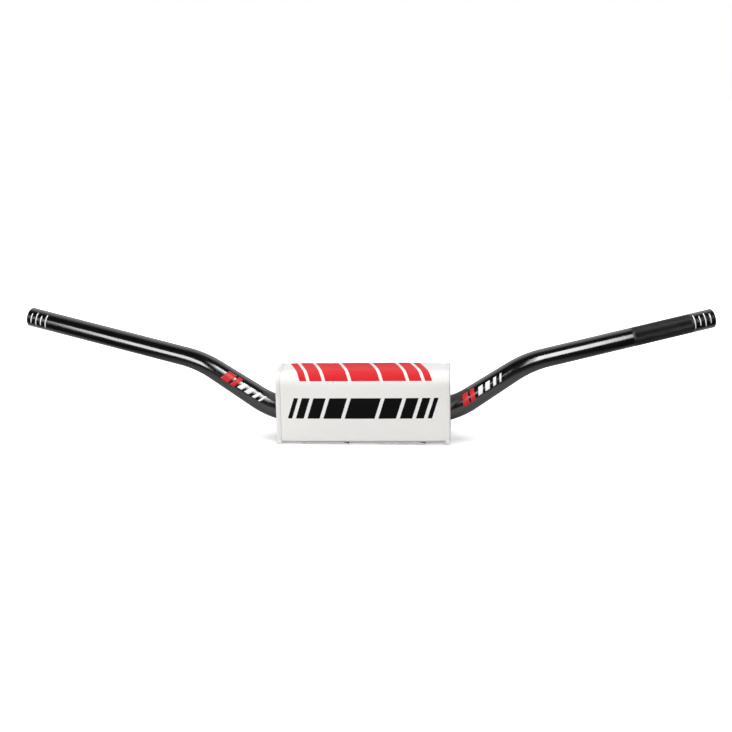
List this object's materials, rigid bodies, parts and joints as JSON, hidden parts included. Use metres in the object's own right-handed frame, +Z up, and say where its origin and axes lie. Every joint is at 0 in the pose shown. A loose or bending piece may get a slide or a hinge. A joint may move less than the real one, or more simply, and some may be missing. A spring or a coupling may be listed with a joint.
{
  "type": "motocross handlebar",
  "caption": "Wide bent and tapered aluminium motocross handlebar with raised, swept back grips and a soft foam crash pad closed round its clamp section.",
  "frame": {"origin": "middle of the clamp section, on the axis of the tube", "axes": "+X along the clamp section towards the rider's left, +Y towards the rear of the bike, the way the grips sweep, +Z up, the way the grips rise"},
  "size_m": [0.808, 0.0958, 0.1398],
  "materials": {
    "anodised_bar": "glossy black anodised, knurled at the left grip",
    "foam": "open cell polyurethane foam",
    "vinyl_cover": "smooth white vinyl on a knitted backing, satin",
    "vinyl_side": "smooth white vinyl on a knitted backing, satin",
    "edge_binding": "folded white vinyl tape, sewn",
    "closure_flap": "white vinyl with a dark knitted backing",
    "hook_tape": "black nylon hook tape",
    "loop_tape": "black nylon loop tape"
  },
  "bodies": {
    "root": {"handlebar_tube": "anodised_bar", "pad_foam": "foam", "pad_cover": "vinyl_cover", "end_panel_left": "vinyl_side", "end_panel_right": "vinyl_side", "edge_binding_left": "edge_binding", "edge_binding_right": "edge_binding", "closure_flap_left": "closure_flap", "closure_flap_right": "closure_flap", "hook_tape_left": "hook_tape", "hook_tape_right": "hook_tape", "loop_tape_left": "loop_tape", "loop_tape_right": "loop_tape"}
  },
  "joints": []
}
